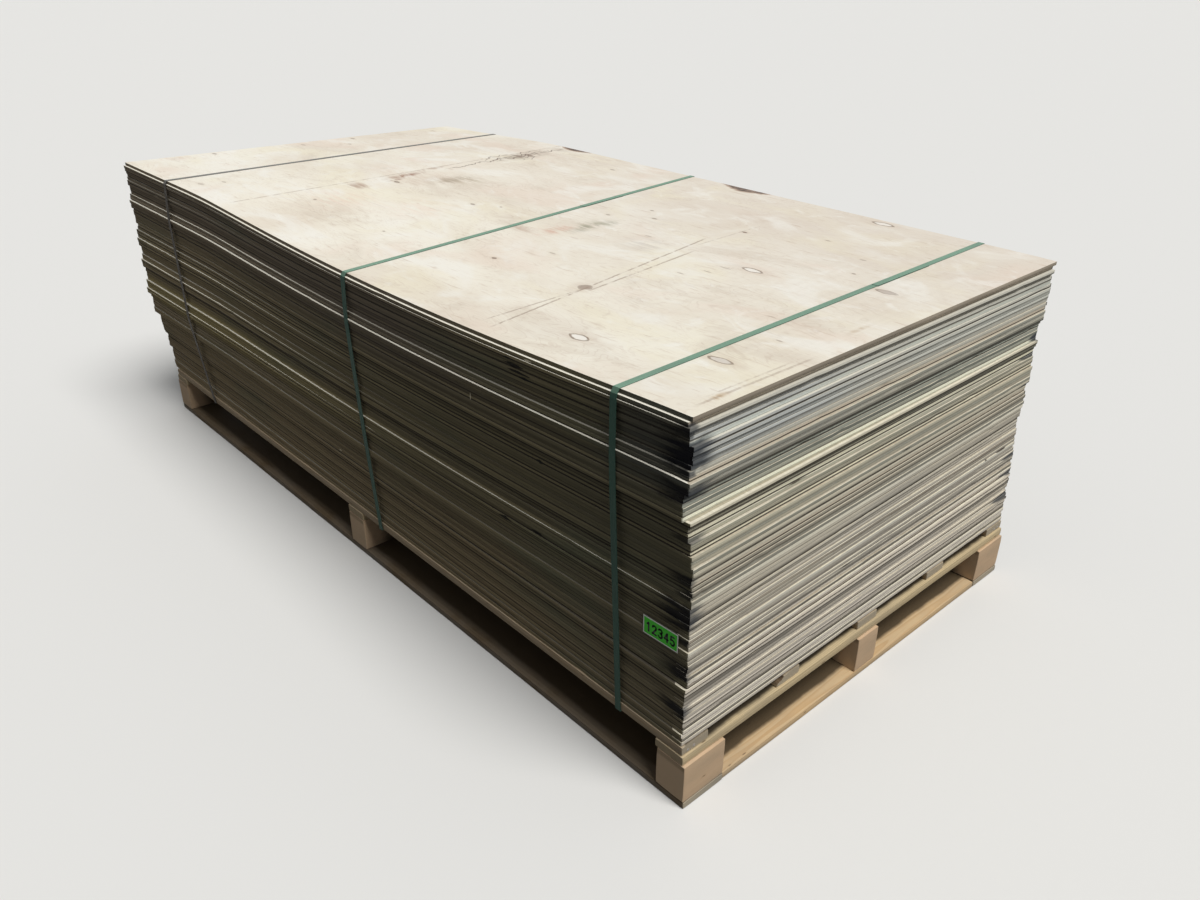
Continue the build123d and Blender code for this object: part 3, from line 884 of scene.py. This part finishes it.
def add_sheet(mesh, corners, low, high, seed):
    """One sheet with eased arrises, whose rim lies a little looser or tighter on its way round."""
    level = round((low - DECK_TOP) / SHEET_PITCH)
    rim = sheet_rim(corners, seed, level)
    middle = sum(rim, Vector((0, 0))) / len(rim)

    def ring(inset, z, slack):
        made = []
        for point in rim:
            loose = noise.noise(Vector((point.x * 2.3, point.y * 2.3, level * 5.0 + 40.0)))
            step = Vector([math.copysign(min(abs(v), inset), v) for v in middle - point])
            made.append(mesh.verts.new((point.x + step.x, point.y + step.y,
                                        z + slack * max(0.0, loose) * SLACK)))
        return made

    rings = [ring(UNDER_LIP, low, 0.0), ring(SHEET_EASE, low, 1.0),
             ring(0.0, low + SHEET_EASE, 1.0), ring(0.0, high - SHEET_EASE, -0.5),
             ring(SHEET_EASE, high, -0.5), ring(LIP, high, 0.0)]
    lip = mesh.verts.layers.float["lip"]
    for vert in rings[4]:
        vert[lip] = 1.0
    skin(mesh, rings, (0, 1, 1, 1, 0))
    for verts, turn in ((rings[0], -1), (rings[-1], 1)):
        for cap in cap_strips(verts):
            mesh.faces.new(cap[::turn])


def cap_strips(verts):
    """Covers a sheet with strips from the near edge to the far one, and a strip at each end."""
    long_count = len(edge_samples(SHEET_LENGTH, *RIM_STEPS)) - 1
    end_count = len(verts) // 2 - long_count
    far_left = 2 * long_count + end_count
    for i in range(1, long_count - 1):
        yield [verts[i], verts[i + 1], verts[far_left - i - 1], verts[far_left - i]]
    yield verts[long_count - 1:long_count + end_count + 2]
    yield verts[far_left - 1:] + verts[:2]


def build_sheets():
    for name in sorted(nodes):
        if name != "top_sheet" and not name.startswith("sheets_lift"):
            continue
        mesh = bmesh.new()
        mesh.verts.layers.float.new("lip")
        for corners, low, high in sheets_of(nodes[name]):
            add_sheet(mesh, corners, low, high, int(round(low * 1e5)))
        settle(mesh)
        veneer = veneer_top if name == "top_sheet" else veneer_plain
        finish_mesh(mesh, name + "_cut", "plywood", (veneer, sheet_edges), name)


def box_mesh(low, high, along, seed, step, wane):
    """A sawn board: eased arrises, slightly wavy faces, and its own grain coordinates."""
    rng = random.Random(seed)
    size = high - low
    across = 1 - along
    length, width, thick = size[along], size[across], size.z
    count = max(2, int(length / step))
    end_run = BOARD_EASE * END_RUN
    stations = [0.0, end_run, *(length * i / count for i in range(1, count)),
                length - end_run, length]
    counts = [max(2, int(side / FACE_STEP)) for side in (width, thick)] * 2
    half_w, half_t = width / 2, thick / 2
    corners = [(-half_w, -half_t), (half_w, -half_t), (half_w, half_t), (-half_w, half_t)]
    section = [(u + (next_u - u) * i / count, v + (next_v - v) * i / count)
               for (u, v), (next_u, next_v), count in zip(corners, corners[1:] + corners, counts)
               for i in range(count)]

    rng.random()  # the first draw has no use
    pith = Vector((rng.uniform(*PITH_ACROSS) * width,
                   rng.choice((-1, 1)) * rng.uniform(*PITH_OUT) * thick))
    offset = rng.uniform(0, 30)
    mesh = bmesh.new()
    grain = mesh.verts.layers.float_vector.new("grain")
    cut = mesh.verts.layers.float.new("cut")
    rings = []
    for place in stations:
        end = min(place, length - place)
        pull = BOARD_EASE * max(0.0, 1 - end / end_run) if end < end_run else 0.0
        ring = []
        for u, v in section:
            on_u = abs(abs(u) - half_w) < TOUCH
            on_v = abs(abs(v) - half_t) < TOUCH
            wavy = noise.noise(Vector((place * 5.0, u * 20 + offset, v * 20)))
            inset = BOARD_ROUGH * (0.5 + 0.5 * wavy)
            inset += BOARD_EASE * 0.45 if on_u and on_v else 0.0
            inset += pull * 0.5
            cu = u - math.copysign(min(abs(u), inset if on_u else 0.0), u)
            cv = v - math.copysign(min(abs(v), inset if on_v else 0.0), v)
            if wane:
                left = 1.0 - (u + half_w) / wane[0] - (half_t - v) / wane[1]
                if left > 0.0:
                    lump = noise.noise(Vector((place * 9.0, offset, 3.0))) * 0.25 + 0.95
                    cu += left / 2 * lump * wane[0]
                    cv -= left / 2 * lump * wane[1]
            point = [0.0, 0.0, low.z + half_t + cv]
            point[along] = low[along] + place
            point[across] = low[across] + half_w + cu
            vert = mesh.verts.new(point)
            vert[grain] = Vector((place + offset, u - pith.x, v - pith.y))
            vert[cut] = 1.0 if place in (0.0, length) else 0.0
            ring.append(vert)
        rings.append(ring)
    skin(mesh, rings)
    mesh.faces.new(rings[0][::-1])
    mesh.faces.new(rings[-1])
    bmesh.ops.recalc_face_normals(mesh, faces=mesh.faces)
    return mesh


def build_timber(name, node, along, paint, step=BOARD_STEP, wane=None):
    low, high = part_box(node)
    mesh = box_mesh(low, high, along, node, step, wane)
    if wane:
        for face in mesh.faces:
            if face.normal.y < -0.25 and face.normal.z > 0.25:
                face.material_index = 1
    finish_mesh(mesh, name, "pallet_timber", (paint, bark) if wane else (paint,), node)


def build_nails():
    """Two nail heads at each end of the outer deck boards, a little proud of the end grain."""
    turns = [math.tau * i / NAIL_SIDES for i in range(NAIL_SIDES)]
    for number, side in ((1, "near"), (5, "far")):
        low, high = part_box(f"deck_board_{number}")
        mesh = bmesh.new()
        for x, out in ((low.x, -1), (high.x, 1)):
            for along, up in NAIL_PLACES:
                y = low.y + (high.y - low.y) * (along if side == "near" else 1 - along)
                z = low.z + (high.z - low.z) * up
                rings = [[mesh.verts.new((x + out * proud, y + radius * math.cos(turn),
                                          z + radius * math.sin(turn))) for turn in turns]
                         for radius, proud in NAIL_RINGS]
                skin(mesh, rings)
                mesh.faces.new(rings[0])
                mesh.faces.new(rings[-1])
        bmesh.ops.recalc_face_normals(mesh, faces=mesh.faces)
        finish_mesh(mesh, f"nails_{side}", "pallet_timber", (nail_steel,))


def build_pallet():
    for side in ("near", "far"):
        build_timber(f"base_side_{side}_sawn", f"base_board_side_{side}", 0, pine_damp)
    for end in ("left", "right"):
        build_timber(f"base_end_{end}_sawn", f"base_board_end_{end}", 1, pine_warm)
    build_timber("base_middle_sawn", "base_board_middle", 0, pine_damp)
    for column in ("left", "centre", "right"):
        build_timber(f"stringer_{column}_sawn", f"stringer_{column}", 1, pine_ends)
        for row in ("near", "middle", "far"):
            build_timber(f"block_{column}_{row}_sawn", f"block_{column}_{row}", 1, pine_blocks,
                         BLOCK_STEP)
    for number in range(1, 6):
        build_timber(f"deck_board_{number}_sawn", f"deck_board_{number}", 0, pine_grey,
                     wane=WANE if number == 2 else None)


def build_straps():
    for name in ("strap_far", "strap_middle", "strap_near"):
        mesh = bmesh.new()
        mesh.from_mesh(nodes[name].data)
        low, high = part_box(name)
        for i in range(1, STRAP_CUTS):
            for unit in (Vector((0, 1, 0)), Vector((0, 0, 1))):
                bmesh.ops.bisect_plane(mesh, geom=mesh.verts[:] + mesh.edges[:] + mesh.faces[:],
                                       plane_co=low.lerp(high, i / STRAP_CUTS), plane_no=unit)
        settle(mesh)
        finish_mesh(mesh, name + "_band", "strap_plastic", (strap_green,), name)


# Strokes of each digit in a cell one wide and two high, from its lower left corner
DIGITS = {
    "1": [[(0.15, 1.55), (0.55, 2.0), (0.55, 0.0)]],
    "2": [[(0.0, 1.55), (0.12, 1.85), (0.5, 2.0), (0.88, 1.85), (0.98, 1.5), (0.85, 1.15),
           (0.0, 0.0), (1.0, 0.0)]],
    "3": [[(0.02, 1.7), (0.3, 1.97), (0.7, 1.97), (0.95, 1.7), (0.9, 1.3), (0.45, 1.08),
           (0.92, 0.85), (1.0, 0.4), (0.7, 0.04), (0.3, 0.04), (0.0, 0.35)]],
    "4": [[(0.72, 0.0), (0.72, 2.0), (0.0, 0.6), (1.0, 0.6)]],
    "5": [[(0.92, 2.0), (0.15, 2.0), (0.05, 1.1), (0.5, 1.28), (0.9, 1.05), (1.0, 0.6),
           (0.8, 0.12), (0.4, 0.0), (0.0, 0.3)]],
}


def stroke_faces(mesh, points, width, place):
    """A flat ribbon along the points, with a round joint at each of them."""
    for start, end in zip(points, points[1:]):
        start, end = Vector(start), Vector(end)
        side = (end - start).normalized().orthogonal() * width / 2
        mesh.faces.new([mesh.verts.new(place(p)) for p in
                        (start - side, end - side, end + side, start + side)])
    for point in points:
        ring = [Vector(point) + Vector((math.cos(a), math.sin(a))) * width / 2
                for a in (math.tau * i / DOT_SIDES for i in range(DOT_SIDES))]
        mesh.faces.new([mesh.verts.new(place(p)) for p in ring])


def build_label():
    """A green card with a white edge and a plain running number, stuck on a little askew."""
    low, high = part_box("label")
    middle = (low + high) / 2
    half_x, half_z = (high.x - low.x) / 2, (high.z - low.z) / 2
    turn = math.radians(LABEL_TURN)
    fit = min(half_x / (half_x * math.cos(turn) + half_z * math.sin(turn)),
              half_z / (half_z * math.cos(turn) + half_x * math.sin(turn)))
    half_x, half_z = half_x * fit, half_z * fit

    def place(depth):
        def put(point):
            x = point[0] * math.cos(turn) - point[1] * math.sin(turn)
            z = point[0] * math.sin(turn) + point[1] * math.cos(turn)
            flat = Vector((middle.x + x, low.y + depth, middle.z + z))
            flat.z -= sink(*flat)
            return flat
        return put

    def card(name, margin, depth, paint, *replaced):
        mesh = bmesh.new()
        x, z = half_x - margin, half_z - margin
        front, back = ([mesh.verts.new(place(d)(c)) for c in ((-x, -z), (x, -z), (x, z), (-x, z))]
                       for d in (depth, high.y - low.y))
        mesh.faces.new(front)
        mesh.faces.new(back[::-1])
        for i in range(4):
            j = (i + 1) % 4
            mesh.faces.new((front[j], front[i], back[i], back[j]))
        finish_mesh(mesh, name, "label_card", (paint,), *replaced)

    card("label_edge", 0.0, LABEL_SKIN * 2, card_white, "label")
    card("label_face", LABEL_BORDER, LABEL_SKIN, card_green)
    mesh = bmesh.new()
    cell = half_x * 2 * NUMBER_LENGTH / len(LABEL_NUMBER)
    size = cell * DIGIT_WIDTH
    for i, digit in enumerate(LABEL_NUMBER):
        left = (i - len(LABEL_NUMBER) / 2) * cell + (cell - size) / 2
        for stroke in DIGITS[digit]:
            points = [(left + u * size, (v - DIGIT_MIDDLE) * size) for u, v in stroke]
            stroke_faces(mesh, points, size * DIGIT_WEIGHT, place(0.0))
    finish_mesh(mesh, "label_number", "label_card", (ink_black,))


def build_stage():
    data = bpy.data.meshes.new("floor")
    reach = FLOOR_REACH
    data.from_pydata([(-reach, -reach, 0), (reach, -reach, 0), (reach, reach, 0),
                      (-reach, reach, 0)], [], [(0, 1, 2, 3)])
    floor = add_object("floor", data)

    def seen(tree):
        """1 where the camera or a reflection looks, 0 for the light that falls on the load."""
        path = tree.node("LightPath").outputs
        camera, glossy, through = (Value(tree, path[f"Is {kind} Ray"])
                                   for kind in ("Camera", "Glossy", "Transmission"))
        return tree.math("MAXIMUM", tree.math("MAXIMUM", camera, glossy), through)

    p = Paint("floor_plain", 0.9, 0.1)
    data.materials.append(p.finish(p.mix(seen(p), FLOOR_BOUNCE, FLOOR_COLOUR)))

    world = bpy.data.worlds.new("studio")
    bpy.context.scene.world = world
    world.use_nodes = True
    sky = Tree(world.node_tree)
    upward = sky.parts(sky.value("TexCoord", output="Generated"))[2]
    light = sky.line(upward, 0.0, 1.0, SKY_LOW, SKY_HIGH)
    sky.fill(world.node_tree.nodes["Background"],
             {"Strength": sky.between(seen(sky), light, SKY_SEEN), "Color": SKY_COLOUR})

    sun = bpy.data.lights.new("key", "SUN")
    sun.energy = SUN_STRENGTH
    sun.angle = math.radians(SUN_SPREAD)
    sun.color = SUN_COLOUR
    lamp = add_object("key", sun)
    lamp.rotation_mode = "QUATERNION"
    lamp.rotation_quaternion = Vector(SUN_FROM).to_track_quat("Z", "Y")


def build_camera():
    turn, rise, roll = (math.radians(v) for v in (CAMERA_AZIMUTH, CAMERA_ELEVATION, CAMERA_ROLL))
    camera = add_object("camera", bpy.data.cameras.new("camera"))
    camera.data.sensor_width = SENSOR_WIDTH
    camera.data.lens = FOCAL_PIXELS / IMAGE_WIDTH * SENSOR_WIDTH
    camera.matrix_world = (
        Matrix.Translation(CAMERA_PLACE) @ Matrix.Rotation(turn, 4, "Z")
        @ Matrix.Rotation(math.pi / 2 - rise, 4, "X") @ Matrix.Rotation(roll, 4, "Z"))
    bpy.context.scene.camera = camera


build_camera()
build_sheets()
build_pallet()
build_nails()
build_straps()
build_label()
build_stage()
bpy.context.scene.view_settings.view_transform = "Standard"
